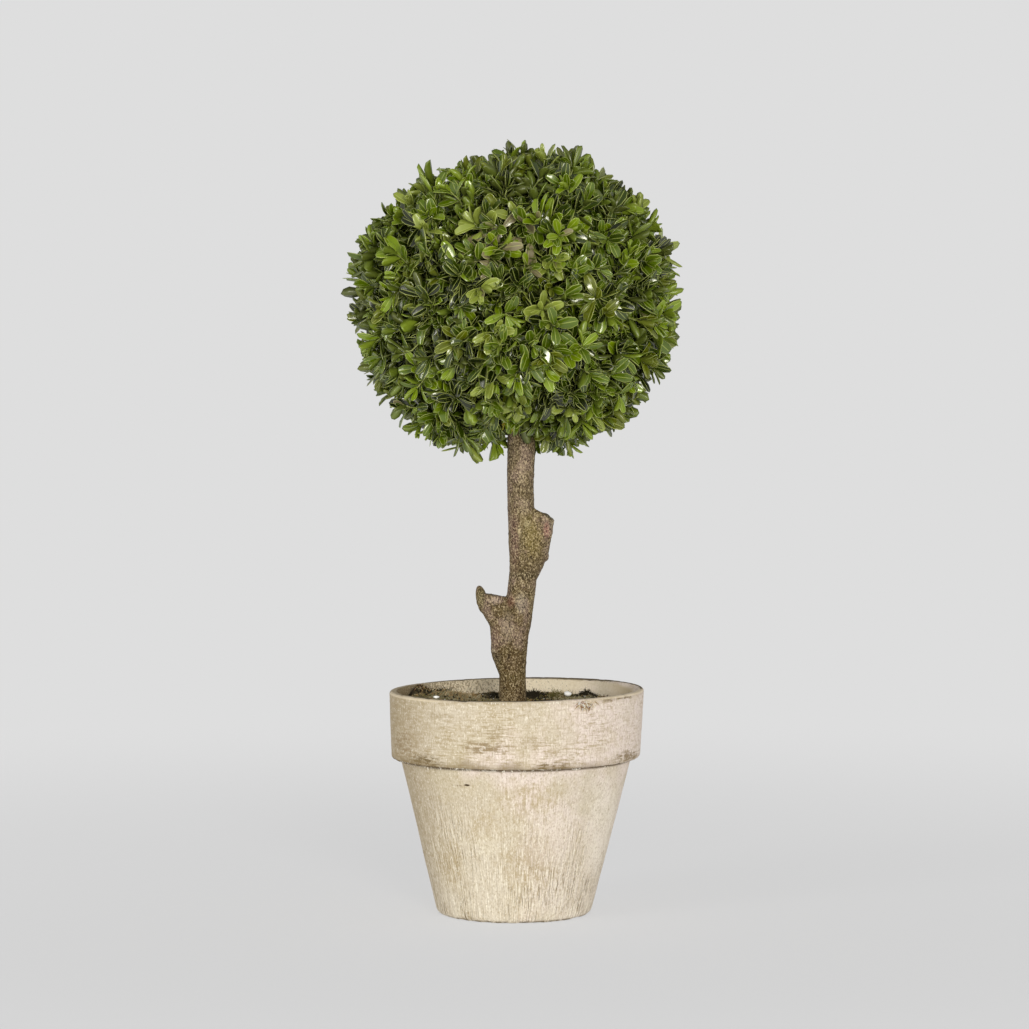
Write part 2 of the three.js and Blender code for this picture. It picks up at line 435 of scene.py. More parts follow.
class Whitewash(Finish):
    """Cream wash brushed over aged clay: across on the collar, down on the body."""

    def __init__(self):
        super().__init__("whitewashed_clay", Specular_IOR_Level=0.2)
        self.x, self.y, self.level = self.split(self.place)
        flat = self.vector_math("MULTIPLY", self.place, (1, 1, 0))
        self.radius = self.vector_math("LENGTH", flat)
        ring_x, ring_y, _ = self.split(self.vector_math("NORMALIZE", flat))
        wrapped = self.add("CombineXYZ", {"X": ring_x, "Y": ring_y, "Z": self.level}).outputs[0]
        self.facing = self.math("ABSOLUTE", ring_y)  # 1 at the front and back, 0 at the two sides
        self.collar = self.band(self.level, COLLAR_FOOT - 0.6 * MM, COLLAR_FOOT + 0.6 * MM)
        self.across = self.noise((9, 9, 700), 5, 0.68, where=wrapped)
        self.down = self.noise((110, 110, 52), 5, 0.72, where=wrapped)
        self.cracks = self.noise((120, 120, 80), 3, 0.6, where=wrapped)
        self.patches = self.noise(15, 3, 0.5)
        self.blotches = self.noise(48, 5, 0.6)
        self.mottle = self.noise(210, 4, 0.7)
        self.grain = self.noise((800, 800, 480), 3, 0.7)

    def finished(self):
        wash = self.wash()
        colour = self.blend(self.collar, self.streaked_body(wash), self.brushed_collar(wash))
        colour = self.smudged_and_shaded(colour)
        stains = self.grains() + self.collar_edge() + self.lip() + self.inner_wall() + self.foot_shade_and_nick()
        colour = self.stains(colour, *stains)
        rough = self.band(self.blotches, 0.3, 0.7, 0.8, 0.95)
        brushed = self.bump(self.blend(self.collar, self.down, self.across), 0.3 * MM, 0.5)
        heights = self.math("ADD", self.times(self.mottle, 0.5), self.times(self.grain, 0.5))
        normal = self.bump(heights, 0.25 * MM, 0.6, Normal=brushed)
        return self.done(Base_Color=colour, Roughness=rough, Normal=normal)

    def wash(self):
        on_right = self.math("ADD", self.patches, self.math("MULTIPLY", self.x, 2.2))
        return self.stains(
            srgb(205, 193, 172),
            ((198, 185, 158), (self.patches, 0.36, 0.64)),
            ((228, 213, 203), (on_right, 0.48, 0.64, 0, 0.95)),
            ((192, 176, 142), (self.blotches, 0.5, 0.74, 0, 0.45)),
            ((188, 172, 138), (self.mottle, 0.5, 0.64, 0, 0.36)),
        )

    def brushed_collar(self, wash):
        grimy = (self.noise(28, 3, 0.6), 0.42, 0.6, 0.2, 1.0)
        return self.stains(
            wash,
            ((170, 152, 118), (self.across, 0.5, 0.6, 0, 0.75), grimy),
            ((236, 226, 206), (self.across, 0.46, 0.36, 0, 0.35)),
            ((172, 154, 122), (self.cracks, 0.52, 0.62, 0, 0.35)),
        )

    def streaked_body(self, wash):
        """The body painted lighter towards the foot, where it faces down and away from the light, and cracks
        and runs in the wash, which grow denser towards the foot.
        """
        near_foot = self.band(self.level, 116 * MM, 46 * MM, 0.16, 1.0)
        streaked = self.band(self.noise((34, 34, 16), 3, 0.6), 0.4, 0.62, 0.2, 1.0)
        return self.stains(
            wash,
            # Painted light: the lower body is lightened towards the foot.
            ((216, 205, 184), near_foot, 0.6),
            ((176, 156, 118), (self.down, 0.49, 0.62), near_foot, streaked),
            ((92, 72, 42), (self.cracks, 0.55, 0.61), near_foot, streaked),
            ((243, 235, 214), (self.cracks, 0.44, 0.36), near_foot, 0.8),
        )

    def smudged_and_shaded(self, colour):
        """Painted shade that darkens the left side evenly, then the smudges, broken up by the brush strokes;
        two of these are painted shade on the left too.
        """
        # Painted shade: darker from 48 mm to 98 mm left of the middle.
        colour = self.stains(colour, ((160, 142, 110), (self.x, -48 * MM, -98 * MM, 0, 0.45)))
        strands = self.math("ADD", self.blend(self.collar, self.cracks, self.across), self.mottle)
        cover = self.band(strands, 0.92, 1.08, 0.2, 1.0)
        return self.spots(colour, SMUDGES_AND_SHADE, self.math("SUBTRACT", 1.0, strands), cover)

    def grains(self):
        return [
            ((164, 146, 112), (self.grain, 0.46, 0.37, 0, 0.55)),
            ((243, 236, 219), (self.grain, 0.56, 0.67, 0, 0.6)),
        ]

    def collar_edge(self):
        """Grime above the collar's foot, and painted shadow in the seam under the collar, with chips of wash
        in it.
        """
        uneven = self.math("ADD", self.times(self.blotches, 16 * MM), self.times(self.mottle, 8 * MM))
        edge = self.math("SUBTRACT", self.math("ADD", self.level, uneven), 12 * MM)
        grime = (edge, COLLAR_FOOT + 8 * MM, COLLAR_FOOT + 0.5 * MM)
        below = (self.level, COLLAR_FOOT - 2.6 * MM, COLLAR_FOOT - 0.6 * MM)
        above = (self.level, COLLAR_FOOT + 1.5 * MM, COLLAR_FOOT + 0.4 * MM)
        shaded_seam = self.times(below, above, (self.blotches, 0.3, 0.5, 0.4, 0.9))
        return [
            ((126, 106, 68), grime, self.collar, (self.patches, 0.4, 0.56, 0.25, 0.65)),
            # Painted shadow under the collar's overhang.
            ((96, 78, 52), shaded_seam),
            ((240, 234, 218), shaded_seam, (self.mottle, 0.54, 0.6)),
        ]

    def lip(self):
        """A dark ring of soil round the lip, and a cream line along its outer edge."""
        level = self.math("SUBTRACT", self.level, self.times(self.x, TILT))
        near_top = self.band(level, POT_HEIGHT - 2.4 * MM, POT_HEIGHT - 1.2 * MM)
        middle = self.band(self.facing, 0.0, 1.0, LIP_RADIUS - 1.4 * MM, LIP_RADIUS - 4.2 * MM)
        width = self.band(self.facing, 0.0, 1.0, 0.9 * MM, 2.6 * MM)
        off_middle = self.math("ABSOLUTE", self.math("SUBTRACT", self.radius, middle))
        in_ring = (self.math("DIVIDE", off_middle, width), 1.2, 0.8)
        at_left = (self.x, -88 * MM, -60 * MM, 0.3, 0.95)
        at_front = self.times((self.x, 20 * MM, 50 * MM), (self.y, 0.0, -20 * MM))
        outer = (self.radius, LIP_RADIUS - 3.4 * MM, LIP_RADIUS - 2.6 * MM)
        sides = self.times((self.facing, 0.9, 0.7, 0, 0.75), (self.y, 0.0, -14 * MM))
        return [
            ((60, 49, 31), in_ring, near_top, at_left, (at_front, 0, 1, 1, 0.3)),
            ((240, 224, 194), near_top, outer, sides),
        ]

    def inner_wall(self):
        """Wear on the lip, and the inner wall: painted light over it, darker at its two sides, partly dirt
        and partly painted shade, and brown specks.
        """
        worn = (self.level, POT_HEIGHT - 6 * MM, POT_HEIGHT - 1 * MM, 0, 0.25)
        within = (self.radius, LIP_RADIUS - WALL + 1 * MM, LIP_RADIUS - WALL)
        inside = self.times(within, (self.level, POT_HEIGHT - 24 * MM, POT_HEIGHT - 22 * MM))
        dirty = self.math("SUBTRACT", self.grain, self.times(self.x, 1.6))
        return [
            ((166, 148, 114), worn, (self.blotches, 0.36, 0.56, 0.35, 1.0)),
            # Painted light: the inner wall, which lies in shade, is lightened.
            ((246, 232, 202), inside, 0.45),
            # Darker towards the two sides: partly dirt, partly painted shade.
            ((158, 140, 100), inside, (self.facing, 0.7, 0.35, 0, 0.65)),
            ((104, 84, 52), inside, (dirty, 0.54, 0.61), 0.7),
        ]

    def foot_shade_and_nick(self):
        # Painted shade: a dark line along the foot's outer edge, next to the floor, broken up by mottle.
        edge = (self.level, 2.6 * MM, 0.8 * MM, 0, 0.85)
        rim = (self.radius, FOOT_RADIUS - 11 * MM, FOOT_RADIUS - 6.5 * MM, 0.2, 1.0)
        in_nick = self.math("ADD", self.distance(NICK_PLACE, NICK_SIZE), self.times(self.mottle, 0.6))
        return [
            ((104, 86, 58), edge, rim, (self.mottle, 0.4, 0.52)),
            ((66, 50, 30), (in_nick, 1.3, 0.9)),
        ]


# ---- Soil and moss ----

MOSS_RINGS = 90
MOSS_SIDES = 300
MOSS_EDGE, STEM_EDGE = 85, 9  # no strands past these distances from the middle, in millimetres
STRAND = 0.4 * MM

# Colours of the strands and grit, and of the wash that has flaked from the pot.
LITTER = {
    "dark": (50, 43, 27),
    "olive": (126, 117, 66),
    "grey": (166, 157, 122),
    "tan": (166, 138, 94),
    "rust": (150, 104, 68),
    "straw": (226, 207, 168),
    "cream": (228, 220, 202),
    "white": (250, 249, 243),
}
# Clumps of strands: centre, half width and depth, and height in millimetres, count, and how upright they are.
CLUMPS = {
    "dark": [
        ((-76, 30), (9, 9), 1.4, 1100, 0.4),
        ((-60, 34), (9, 9), 2.6, 420, 0.4),
        ((-18, 26), (5, 8), 4.0, 300, 0.8),
        ((16, 40), (14, 9), 3.4, 700, 0.7),
        ((44, 46), (4, 5), 4.0, 110, 0.7),
        ((57, 38), (7, 9), 3.2, 460, 0.8),
        ((74, 34), (6, 8), 1.6, 60, 0.5),
        ((40, -34), (26, 26), 4.0, 420, 0.8),
        ((0, 0), (88, 88), 2.6, 900, 0.5),
    ],
    "olive": [
        ((34, 40), (8, 9), 5.2, 460, 0.8),
        ((-30, -46), (24, 22), 4.0, 420, 0.8),
        ((0, 0), (88, 88), 2.6, 800, 0.5),
    ],
    "grey": [
        ((-77, 30), (7, 8), 1.4, 80, 0.3),
        ((-40, 26), (28, 24), 2.2, 1700, 0.0),
        ((44, 18), (34, 14), 2.2, 700, 0.1),
    ],
    "tan": [
        ((-76, 30), (8, 9), 1.6, 200, 0.4),
        ((-44, 24), (24, 18), 2.4, 520, 0.3),
        ((-36, 50), (3, 5), 5.0, 40, 0.6),
        ((0, 0), (88, 88), 2.2, 420, 0.3),
    ],
    "rust": [
        ((-76, 32), (7, 7), 1.6, 120, 0.5),
        ((74, 34), (6, 8), 1.6, 60, 0.3),
        ((0, 0), (88, 88), 2.0, 120, 0.2),
    ],
    "straw": [
        ((-70, 34), (12, 8), 2.6, 60, 0.6),
        ((-42, 36), (16, 12), 3.0, 320, 0.6),
        ((35, 40), (7, 9), 5.0, 130, 0.8),
    ],
}
# Where the moss is heaped up: centre, half width and depth, and height.
MOUNDS = [
    ((-79, 31), (9, 9), 8.0),
    ((-18, 26), (5, 7), 2.4),
    ((16, 40), (15, 8), 2.2),
    ((57, 38), (7, 8), 3.0),
]
# Crumbs of grit of each colour, and two pebbles among the white ones: centre and half sizes.
GRIT = {"white": 24, "tan": 150, "dark": 150}
GRIT_EDGE = 84 * MM
PEBBLES = [((41.8, 23, 172.4), (3.1, 2.5, 2.1)), ((-61.5, -70.5, 179.0), (2.2, 1.6, 1.1))]
WISP = {"x": 53, "below_lip": 1.2, "strands": 120, "length": 6.4}
# Flakes of wash on the pot's edges: from x, to x, height below the lip and count, in millimetres.
FLAKES = [(-21, -7, 1.6, 9), (14, 38, 1.7, 12), (-84, -34, 54.3, 9), (-34, 8, 54.6, 4)]

moss_surface = BVHTree.FromObject(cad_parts["moss_bed"], bpy.context.evaluated_depsgraph_get())


def heights_over(places):
    """Height of the heaped moss at each place (x, y), or none where there is no moss."""
    hits = [moss_surface.ray_cast(Vector((x, y, 1.0)), Vector((0, 0, -1)))[0] for x, y in places]
    level = np.array([np.nan if hit is None else hit.z for hit in hits])
    for centre, spread, height in MOUNDS:
        level += height * MM * hump(norm((places / MM - centre) / spread, axis=1))
    return level


def on_moss(places, lift):
    """Points at a height over the moss, without the places that have none."""
    points = np.column_stack([places, heights_over(places) + lift])
    return points[~np.isnan(points[:, 2])]


def soil_material():
    soil = Finish("potting_soil", Specular_IOR_Level=0.2, Roughness=1.0)
    crumbs = soil.noise(260, 6, 0.7)
    lumps = soil.add("TexVoronoi", {"Vector": soil.place, "Scale": 320}).outputs["Distance"]
    colour = soil.blend(soil.band(crumbs, 0.35, 0.65), srgb(44, 33, 24), srgb(84, 66, 48))
    normal = soil.bump(soil.math("ADD", crumbs, lumps), 1.2 * MM, 0.8)
    return soil.done(Base_Color=colour, Normal=normal)


def moss_material():
    moss = Finish("dry_moss", Specular_IOR_Level=0.15, Roughness=1.0)
    fibres = moss.noise((210, 700, 700), 4, 0.7, 0.6)
    clumps = moss.noise(42, 3, 0.6)
    tangle = moss.noise(190, 4, 0.65)
    pale = moss.band(fibres, 0.35, 0.65)
    dark = moss.blend(pale, srgb(40, 34, 22), srgb(82, 70, 44))
    green = moss.blend(pale, srgb(100, 92, 60), srgb(160, 148, 110))
    colour = moss.blend(moss.band(clumps, 0.42, 0.58), dark, green)
    colour = moss.stains(colour, ((134, 114, 80), (tangle, 0.58, 0.72, 0, 0.6)))
    heaps = [((*centre, 174), (*spread, 20), (54, 45, 32), 0.9) for centre, spread, _ in MOUNDS]
    colour = moss.spots(colour, heaps, moss.math("SUBTRACT", tangle, 0.5))
    return moss.done(Base_Color=colour, Normal=moss.bump(fibres, 0.8 * MM, 0.9))


def moss_blanket(material):
    """A lumpy blanket over the CAD moss, closed underneath. Its rings go in from a skirt at the wall."""
    low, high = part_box("moss_bed")
    shares = np.linspace(0, 1, MOSS_RINGS + 1)[:0:-1] ** 0.9
    reach = (high.x - 0.3 * MM) * shares
    flat = (circle(MOSS_SIDES) * reach[:, None, None]).reshape(-1, 2)
    level = heights_over(flat * 0.995)
    points = np.column_stack([flat, np.where(np.isnan(level), low.z + 5 * MM, level)])
    lumps = 0.8 * noise(points, 0.012, 21) + 0.6 * noise(points, 0.0048, 22) + 0.4 * noise(points, 0.0021, 23)
    points[:, 2] += (lumps - 0.5) * MM
    rim = np.repeat(smooth_step(shares, 0.93, 1.0), MOSS_SIDES)
    points[:, 2] -= rim * (1.2 * MM + 1.0 * MM * noise(points, 0.006, 24))
    skirt = points[:MOSS_SIDES] * (1, 1, 0) + (0, 0, low.z)
    points = np.vstack([skirt, points, [0, 0, low.z], [0, 0, points[-MOSS_SIDES, 2]]])
    piece_of("moss_blanket", points, ring_faces(MOSS_RINGS + 1, MOSS_SIDES), [material], "moss", ["moss_bed"])


def clump_strands(clump, chance):
    """Paths of one clump's strands, which start in the moss and bend over."""
    centre, spread, height, count, upright = clump
    all_over = min(spread) > 80
    turn = chance.uniform(0, FULL_TURN, count)
    out = np.sqrt(chance.uniform(0, 1, count)) if all_over else np.abs(chance.normal(0, 0.6, count))
    flat = np.array(centre) + spokes(turn) * out[:, None] * spread
    from_middle = norm(flat, axis=1)
    flat = flat[(from_middle < MOSS_EDGE) & (from_middle > STEM_EDGE)] * MM
    feet = on_moss(flat, -0.8 * MM)
    heading = chance.normal(0, 1, feet.shape)
    heading[:, 2] = np.abs(heading[:, 2]) * 0.7 + upright * 1.4
    length = (height + 1) * MM * chance.uniform(0.45, 1.1, len(feet))
    bend = chance.normal(0, 0.3, feet.shape)
    bend[:, 2] -= 0.35
    at = np.linspace(0, 1, 4)[None, :, None]
    return feet[:, None] + (unit(heading)[:, None] * at + bend[:, None] * at**2) * length[:, None, None]


def strands(name, paths, thickness, material):
    radii = thickness * (1 - 0.75 * np.linspace(0, 1, paths.shape[1]) ** 1.5)
    piece_of(name, *tubes(paths, np.tile(radii, (len(paths), 1)), 3), [material], "moss")


def stones(name, centres, half_sizes, material, chance):
    """Lumpy stones, each turned its own way."""
    ball = bmesh.new()
    bmesh.ops.create_icosphere(ball, subdivisions=2, radius=1)
    corners = np.array([vertex.co[:] for vertex in ball.verts])
    faces = [[vertex.index for vertex in face.verts] for face in ball.faces]
    ball.free()
    lumpy = corners * (1 + chance.uniform(-0.22, 0.22, (len(centres), len(corners), 1)))
    ahead = spokes(chance.uniform(0, FULL_TURN, len(centres)))[:, None]
    aside = ahead[..., ::-1] * (-1, 1)
    turned = lumpy[..., :1] * ahead + lumpy[..., 1:2] * aside
    shaped = np.concatenate([turned, lumpy[..., 2:]], axis=-1) * half_sizes[:, None] + centres[:, None]
    piece_of(name, *repeated(shaped, faces), [material], "moss")


def grit(kinds, chance):
    """Crumbs all over the moss, and the two pebbles."""
    for kind, count in GRIT.items():
        turn = chance.uniform(0, FULL_TURN, count)
        out = np.sqrt(chance.uniform(0.02, 1, count)) * GRIT_EDGE
        centres = on_moss(spokes(turn) * out[:, None], 0.2 * MM)
        half_sizes = chance.uniform(0.25, 0.8, (len(centres), 1)) * np.array([1.2, 1.0, 0.8]) * MM
        if kind == "white":
            places, sizes = np.array(PEBBLES).swapaxes(0, 1) * MM
            centres, half_sizes = np.vstack([centres, places]), np.vstack([half_sizes, sizes])
        stones(f"grit_{kind}", centres, half_sizes, kinds[kind], chance)


def wisp_of_straw(kinds, chance):
    """A few strands of straw stuck under the lip at the front."""
    count, radius = WISP["strands"], LIP_RADIUS - 0.2 * MM
    turn = -math.acos(WISP["x"] * MM / radius) + chance.normal(0, 3.4, count) * MM / radius
    height = POT_HEIGHT - (WISP["below_lip"] + np.abs(chance.normal(0, 2.2, count))) * MM
    sweep = chance.uniform(-1.5, 1.5, count)
    length = WISP["length"] * MM * chance.uniform(0.35, 1.1, count)
    at = np.linspace(0, 1, 6)[None]
    turn = turn[:, None] + (np.sin(sweep) * length)[:, None] * at / radius
    height = height[:, None] - (np.cos(sweep) * length)[:, None] * at
    lift = radius + (0.25 + chance.uniform(0.3, 1.6, count)[:, None] * np.sin(at * 2.6)) * MM
    paths = np.concatenate([spokes(turn) * lift[..., None], height[..., None]], axis=-1)
    for number, kind in enumerate(("white", "straw", "tan", "cream", "rust")):
        strands(f"wisp_{kind}_{number}", paths[number::5], 0.3 * MM, kinds[kind])


def flakes_of_wash(material, chance):
    centres = []
    for low, high, below, count in FLAKES:
        at_lip = below < 10
        radius = LIP_RADIUS if at_lip else COLLAR_FOOT_RADIUS - 0.4 * MM
        x = chance.uniform(low, high, count) * MM
        height = POT_HEIGHT - (below + chance.uniform(-0.5, 0.5, count)) * MM + at_lip * TILT * x
        centres.append(np.column_stack([x, -np.sqrt(radius**2 - x**2), height]))
    centres = np.vstack(centres)
    half_sizes = (0.25 + 0.6 * chance.uniform(0, 1, (len(centres), 1)) ** 2) * np.array([0.8, 0.5, 1.2]) * MM
    stones("flakes_of_wash", centres, half_sizes, material, chance)


def moss_and_litter():
    chance = np.random.default_rng(11)
    moss_blanket(moss_material())
    kinds = {}
    for kind, colour in LITTER.items():
        finish = Finish(f"litter_{kind}", Base_Color=srgb(*colour), Roughness=0.8, Specular_IOR_Level=0.25)
        kinds[kind] = finish.material
    for kind, clumps in CLUMPS.items():
        paths = np.concatenate([clump_strands(clump, chance) for clump in clumps])
        strands(f"moss_strands_{kind}", paths, STRAND, kinds[kind])
    grit(kinds, chance)
    wisp_of_straw(kinds, chance)
    flakes_of_wash(kinds["cream"], chance)


# ---- Bark: the stem and its two cut boughs ----

SOIL_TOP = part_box("soil_fill")[1].z / MM

# Stations from the foot to the tip, in millimetres: centre x, y, z and radius.
STEM = [
    (-2, 0, SOIL_TOP - 2, 11.4),
    (-2.4, 0, SOIL_TOP + 8, 10.5),
    (-2.6, 0.5, 194.5, 10.3),
    (-1.2, 0.5, 218.5, 11),
    (3, 0, 242.5, 11),
    (5.8, -1, 274.5, 10.7),
    (5.2, -1, 308.5, 10.3),
    (4.1, 0, 347.5, 10.3),
    (4.5, 0.5, 378.5, 10.6),
    (3, 0, 432.5, 8),
    (1, 0, 472.5, 4.6),
]
LOWER_BOUGH = [
    (-4, 0, 188, 8),
    (-7, -1, 200, 9),
    (-9.2, -2, 209, 10),
    (-9.2, -2.5, 220, 10),
    (-11, -3.5, 232, 10),
    (-15.4, -5, 244, 11.4),
    (-19, -6, 257, 11.2),
    (-21.5, -7, 268, 10.5),
]
UPPER_BOUGH = [
    (3, 0, 256, 7.5),
    (7.5, -1, 270, 10),
    (11.5, -2.5, 283, 12),
    (15.5, -4, 296, 12.8),
    (19.5, -5, 309, 13),
    (23.5, -6, 322, 13),
]
# Planes that the saw and the knife left: a point and the way they face.
LOWER_CUTS = [((-15, -5, 253.2), (0.16, 0.02, 0.99))]
UPPER_CUTS = [((27.4, -5, 296), (0.985, 0.02, -0.16)), ((22, -5, 318.2), (0.5, 0, 0.86))]
# Rounded lips of bark that have grown up round the cuts: centre, half sizes and lean to the left.
LIPS = [
    ((-26.6, -6, 250), (4.3, 6.6, 11.5), 12),
    ((-14, -2, 210), (5.4, 8, 7.5), 0),
    ((12, -6, 300), (9.5, 13, 18), -14),
    ((22, -5, 313), (6.5, 8, 6), -30),
    ((26.6, -5, 307), (2.9, 7.5, 7), 0),
    ((23.6, -4, 284.5), (2.6, 6.5, 3.6), 0),
]
LIMB_SIDES = 40
LIMB_RINGS = 90
SKIN_CELL = 0.72 * MM
# Colours where a bough was cut or the bark is worn, and painted shade under the lower bough's lip: centre and
# half sizes in millimetres.
PATCHES = [
    ((-0.5, -10, 298), (4.5, 12, 26), (108, 80, 66), 0.7),
    ((-6.5, -4, 345), (3.2, 9, 45), (98, 78, 62), 0.6),
    ((15.5, -4, 350), (3.0, 9, 32), (92, 76, 50), 0.6),
    ((6, -11, 352), (3.6, 10, 13), (158, 138, 114), 0.45),
    ((7.5, -11, 323), (3.2, 10, 9), (164, 146, 118), 0.5),
    ((13, -13, 302), (10.5, 12, 20), (122, 106, 52), 0.8),
    ((9, -11, 270), (14, 12, 3.6), (74, 62, 34), 0.75),
    ((24.6, -12, 306), (3.2, 12, 7), (158, 112, 98), 0.75),
    ((28, -5, 311), (3, 12, 7), (146, 144, 118), 0.7),
    ((9.2, -12, 310.6), (3.0, 10, 3), (196, 180, 136), 0.7),
    ((3.1, -12, 305), (1.6, 10, 5), (190, 172, 132), 0.7),
    ((25.5, -10, 317), (3.2, 12, 2.2), (70, 66, 44), 0.6),
    ((-3.5, -11, 249), (3.5, 8, 5), (142, 100, 82), 0.6),
    ((4.6, -11, 248), (5.5, 10, 9), (160, 148, 128), 0.5),
    ((-6.5, -12, 229), (5.5, 10, 13), (166, 148, 124), 0.5),
    ((-27, -10, 252), (4, 10, 9.5), (106, 96, 56), 0.8),
    ((-17, -12, 250.5), (5.5, 8, 4), (182, 160, 144), 0.75),
    ((-16, -14, 246.5), (1.1, 6, 0.9), (36, 26, 18), 1.0),
    ((-15.5, -9, 221), (4, 10, 13), (124, 96, 84), 0.6),
    ((-17.5, -10, 209.5), (2.2, 7, 1.6), (176, 160, 132), 0.8),
    # Painted shade in the crease under the lower bough's lip.
    ((-14.5, -8, 204), (4, 10, 6), (56, 44, 28), 0.6),
    ((13, -6, 250), (3, 12, 16), (112, 100, 56), 0.6),
]


def through(stations, count):
    """Points and radii along a smooth line through the stations."""
    knots = np.array(stations, float)
    knots = np.vstack([2 * knots[0] - knots[1], knots, 2 * knots[-1] - knots[-2]])
    at = np.linspace(0, len(stations) - 1, count)
    low = np.minimum(at.astype(int), len(stations) - 2)
    part = (at - low)[:, None]
    a, b, c, d = (knots[low + shift] for shift in range(4))
    curve = 2 * b + (c - a) * part + (2 * a - 5 * b + 4 * c - d) * part**2 + (3 * b - a - 3 * c + d) * part**3
    return curve[:, :3] / 2 * MM, curve[:, 3] / 2 * MM


def limb_solid(stations, cuts=()):
    path, radii = through(stations, LIMB_RINGS)
    points, faces = tubes(path[None], radii[None], LIMB_SIDES)
    solid = bmesh.new()
    corners = [solid.verts.new(point) for point in points]
    for face in faces:
        solid.faces.new([corners[i] for i in face])
    for place, facing in cuts:
        everything = solid.verts[:] + solid.edges[:] + solid.faces[:]
        plane = {"plane_co": Vector(place) * MM, "plane_no": facing}
        cut = bmesh.ops.bisect_plane(solid, geom=everything, clear_outer=True, **plane)
        edges = [part for part in cut["geom_cut"] if isinstance(part, bmesh.types.BMEdge)]
        bmesh.ops.contextual_create(solid, geom=edges)
    return solid


def bark_skin():
    """The limbs and lips made into one skin of even small faces."""
    whole = bmesh.new()
    mesh = bpy.data.meshes.new("limbs")
    limbs = [limb_solid(STEM), limb_solid(LOWER_BOUGH, LOWER_CUTS), limb_solid(UPPER_BOUGH, UPPER_CUTS)]
    for limb in limbs:
        limb.to_mesh(mesh)
        whole.from_mesh(mesh)
        limb.free()
    for centre, half_sizes, lean in LIPS:
        tilt = Matrix.Rotation(math.radians(-lean), 4, "Y")
        stretch = Matrix.Diagonal((*(size * MM for size in half_sizes), 1))
        place = Matrix.Translation(Vector(centre) * MM) @ tilt @ stretch
        bmesh.ops.create_uvsphere(whole, u_segments=24, v_segments=16, radius=1, matrix=place)
    whole.to_mesh(mesh)
    whole.free()
    thing = in_scene("limbs", mesh)
    remesh = thing.modifiers.new("skin", "REMESH")
    remesh.mode = "VOXEL"
    remesh.voxel_size = SKIN_CELL
    smooth = thing.modifiers.new("smooth", "SMOOTH")
    smooth.factor = 0.6
    smooth.iterations = 5
    skin = bpy.data.meshes.new_from_object(thing.evaluated_get(bpy.context.evaluated_depsgraph_get()))
    bpy.data.objects.remove(thing)
    bpy.data.meshes.remove(mesh)
    return skin


def bark_relief(points):
    """Height of the bark's lumps, fine cracks and warts at each point."""
    lumps = 0.55 * noise(points, (0.016, 0.016, 0.03), 31) + 0.3 * noise(points, (0.006, 0.006, 0.01), 32)
    cracks = np.abs(noise(points, (0.0022, 0.0022, 0.0052), 33))
    warts = smooth_step(noise(points, (0.0016, 0.0016, 0.0018), 34), 0.35, 0.85)
    fine = noise(points, 0.0011, 35)
    return (0.25 + lumps + 0.2 * cracks + 0.25 * warts + 0.12 * fine) * MM


def stem_and_boughs(material):
    skin = bark_skin()
    points, normals = np.empty((len(skin.vertices), 3)), np.empty((len(skin.vertices), 3), np.float32)
    skin.vertices.foreach_get("co", points.ravel())
    skin.vertices.foreach_get("normal", normals.ravel())
    points += normals * bark_relief(points)[:, None]
    skin.vertices.foreach_set("co", points.ravel())
    skin.materials.clear()
    skin.materials.append(material)
    skin.polygons.foreach_set("use_smooth", np.ones(len(skin.polygons), bool))
    skin.update()
    piece("bark", skin, ["stem", "lower_cut_bough", "upper_cut_bough"])


def bark_material():
    bark = Finish("box_bark", Specular_IOR_Level=0.3)
    grains = bark.noise((880, 880, 640), 3, 0.66, 0.6)
    crumbs = bark.noise((430, 430, 260), 3, 0.65, 0.3)
    shades = bark.noise(70, 3, 0.6)
    level = bark.split(bark.place)["Z"]
    above_foot = (level, 190 * MM, 225 * MM, 0.15, 1.0)
    # Darker and yellower towards the foot, from 330 mm down to 190 mm: partly the bark's own tone, partly
    # painted shade from the moss.
    colour = bark.blend(bark.band(level, 330 * MM, 190 * MM), srgb(106, 90, 63), srgb(94, 75, 40))
    colour = bark.stains(
        colour,
        ((138, 116, 100), (shades, 0.48, 0.62, 0, 0.75), above_foot),
        ((104, 88, 50), (shades, 0.46, 0.34, 0, 0.75)),
    )
    colour = bark.spots(colour, PATCHES, bark.math("SUBTRACT", crumbs, 0.5))
    pale = bark.stains(colour, ((210, 191, 150), 0.6))
    dark = bark.stains(colour, ((38, 26, 12), 0.88))
    colour = bark.blend(bark.band(grains, 0.53, 0.61, 0, 0.9), colour, pale)
    colour = bark.blend(bark.band(grains, 0.48, 0.4, 0, 0.95), colour, dark)
    colour = bark.blend(bark.band(crumbs, 0.42, 0.32, 0, 0.3), colour, dark)
    rough = bark.band(grains, 0.3, 0.7, 0.9, 0.65)
    normal = bark.bump(bark.math("ADD", crumbs, grains), 0.5 * MM, 0.8)
    return bark.done(Base_Color=colour, Roughness=rough, Normal=normal)


# ---- Foliage: boughs, twigs and sprigs that grow from the stem's top ----

ball_low, ball_high = (np.array(corner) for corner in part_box("leaf_ball"))
BALL_RADII = np.array([*(ball_high - ball_low)[:2] / 2, 128.5 * MM])
BALL_CENTRE = np.array([*(ball_low + ball_high)[:2] / 2, 485.5 * MM])
BOUGHS_FROM, BOUGHS_TO = 392 * MM, 470 * MM  # where they leave the stem
CLEAR_OF_STEM = 0.12  # radians round the stem with no limb
UNEVEN = 0.122  # how much further out one limb's tip is than another's, as a share

